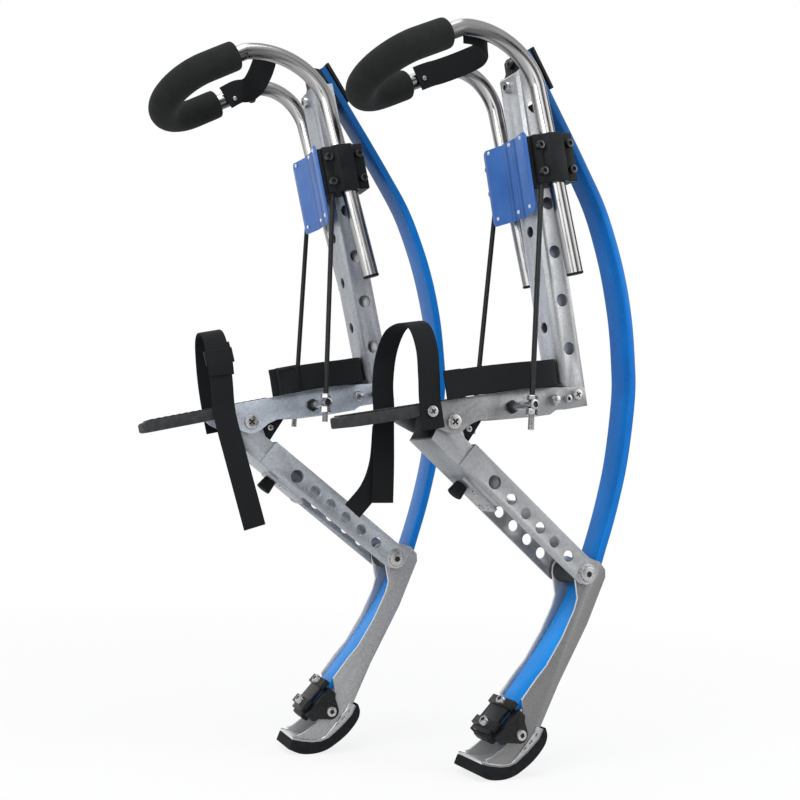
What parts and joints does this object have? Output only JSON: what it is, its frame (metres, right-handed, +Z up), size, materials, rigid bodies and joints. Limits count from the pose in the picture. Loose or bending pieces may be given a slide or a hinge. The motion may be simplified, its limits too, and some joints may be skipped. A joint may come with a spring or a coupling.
{
  "type": "jumping stilts",
  "caption": "Spring-blade jumping stilts: padded knee loop, perforated post, strapped foot frame, hinged strut and rubber-soled hoof.",
  "frame": {"origin": "midway between the two foot boards, level with their tops: where the wearer stands", "axes": "+X towards the toes, +Y to the wearer's left, +Z up"},
  "size_m": [0.6414, 0.3651, 0.9665],
  "materials": {
    "cast_aluminium": "fine grained, satin",
    "grey_aluminium": "satin, darker, bright cut edges",
    "chromed": "polished",
    "zinc": "bright zinc",
    "blue_fibre": "glossy fibre laminate",
    "blue_plate": "satin lacquer",
    "black_plastic": "satin moulding",
    "black_steel": "black coated",
    "rubber": "matt",
    "board_rubber": "matt",
    "foam": "closed-cell foam, matt",
    "webbing": "woven band"
  },
  "bodies": {
    "frames": {"side_plate_outer_left": "cast_aluminium", "side_plate_inner_left": "cast_aluminium", "foot_board_left": "board_rubber", "post_left": "cast_aluminium", "clamp_saddle_left": "black_plastic", "clamp_cap_outer_left": "black_plastic", "clamp_cap_inner_left": "black_plastic", "calf_plate_left": "blue_plate", "rod_barrel_outer_left": "chromed", "brace_rod_outer_left": "black_steel", "rod_barrel_inner_left": "chromed", "brace_rod_inner_left": "black_steel", "leaf_spring_left": "blue_fibre", "spring_holder_left": "black_plastic", "spring_cap_left": "black_plastic", "travel_stop_left": "rubber", "toe_axle_left": "zinc", "toe_strap_left": "webbing", "heel_strap_left": "webbing", "side_plate_outer_right": "cast_aluminium", "side_plate_inner_right": "cast_aluminium", "foot_board_right": "board_rubber", "post_right": "cast_aluminium", "clamp_saddle_right": "black_plastic", "clamp_cap_outer_right": "black_plastic", "clamp_cap_inner_right": "black_plastic", "calf_plate_right": "blue_plate", "rod_barrel_outer_right": "chromed", "brace_rod_outer_right": "black_steel", "rod_barrel_inner_right": "chromed", "brace_rod_inner_right": "black_steel", "leaf_spring_right": "blue_fibre", "spring_holder_right": "black_plastic", "spring_cap_right": "black_plastic", "travel_stop_right": "rubber", "toe_axle_right": "zinc", "toe_strap_right": "webbing", "heel_strap_right": "webbing"},
    "strut_left": {"strut_sleeve_left": "cast_aluminium", "strut_channel_left": "cast_aluminium", "bump_stop_left": "rubber", "ankle_axle_left": "zinc"},
    "hoof_left": {"hoof_arm_left": "grey_aluminium", "hoof_rubber_left": "rubber"},
    "yoke_left": {"spring_yoke_left": "black_steel", "yoke_clamp_left": "black_steel"},
    "knee_left": {"knee_bar_left": "chromed", "knee_foam_left": "foam", "knee_strap_left": "webbing"},
    "strut_right": {"strut_sleeve_right": "cast_aluminium", "strut_channel_right": "cast_aluminium", "bump_stop_right": "rubber", "ankle_axle_right": "zinc"},
    "hoof_right": {"hoof_arm_right": "grey_aluminium", "hoof_rubber_right": "rubber"},
    "yoke_right": {"spring_yoke_right": "black_steel", "yoke_clamp_right": "black_steel"},
    "knee_right": {"knee_bar_right": "chromed", "knee_foam_right": "foam", "knee_strap_right": "webbing"}
  },
  "joints": [
    {"name": "strut_swing_left", "type": "hinge", "parent": "frames", "child": "strut_left", "pos_m": [-0.0775, 0.102, -0.027], "axis": [0, 1, 0], "range_deg": [0, 20], "stiffness_Nm_per_rad": 300, "deforming": ["leaf_spring_left"]},
    {"name": "hoof_fold_left", "type": "hinge", "parent": "strut_left", "child": "hoof_left", "pos_m": [-0.28793, 0.102, -0.21423], "axis": [0, 1, 0], "range_deg": [-36, 0]},
    {"name": "yoke_turn_left", "type": "hinge", "parent": "hoof_left", "child": "yoke_left", "pos_m": [-0.19402, 0.102, -0.41746], "axis": [0, 1, 0], "range_deg": [0, 12]},
    {"name": "knee_slide_left", "type": "slide", "parent": "frames", "child": "knee_left", "axis": [0.2656, 0, 0.9641], "range_m": [-0.03, 0.06]},
    {"name": "strut_swing_right", "type": "hinge", "parent": "frames", "child": "strut_right", "pos_m": [0.1175, -0.102, -0.03139], "axis": [0.068, 0.9977, 0], "range_deg": [0, 20], "stiffness_Nm_per_rad": 300, "deforming": ["leaf_spring_right"]},
    {"name": "hoof_fold_right", "type": "hinge", "parent": "strut_right", "child": "hoof_right", "pos_m": [-0.10039, -0.08715, -0.20926], "axis": [0.068, 0.9977, 0], "range_deg": [-36, 0]},
    {"name": "yoke_turn_right", "type": "hinge", "parent": "hoof_right", "child": "yoke_right", "pos_m": [-0.01563, -0.09292, -0.4164], "axis": [0.068, 0.9977, 0], "range_deg": [0, 12]},
    {"name": "knee_slide_right", "type": "slide", "parent": "frames", "child": "knee_right", "axis": [0.3066, -0.0209, 0.9516], "range_m": [-0.03, 0.06]}
  ],
  "couplings": [
    {"joint": "hoof_fold_left", "follows": "strut_swing_left", "ratio": -1.8},
    {"joint": "yoke_turn_left", "follows": "strut_swing_left", "ratio": 0.6},
    {"joint": "hoof_fold_right", "follows": "strut_swing_right", "ratio": -1.8},
    {"joint": "yoke_turn_right", "follows": "strut_swing_right", "ratio": 0.6}
  ]
}
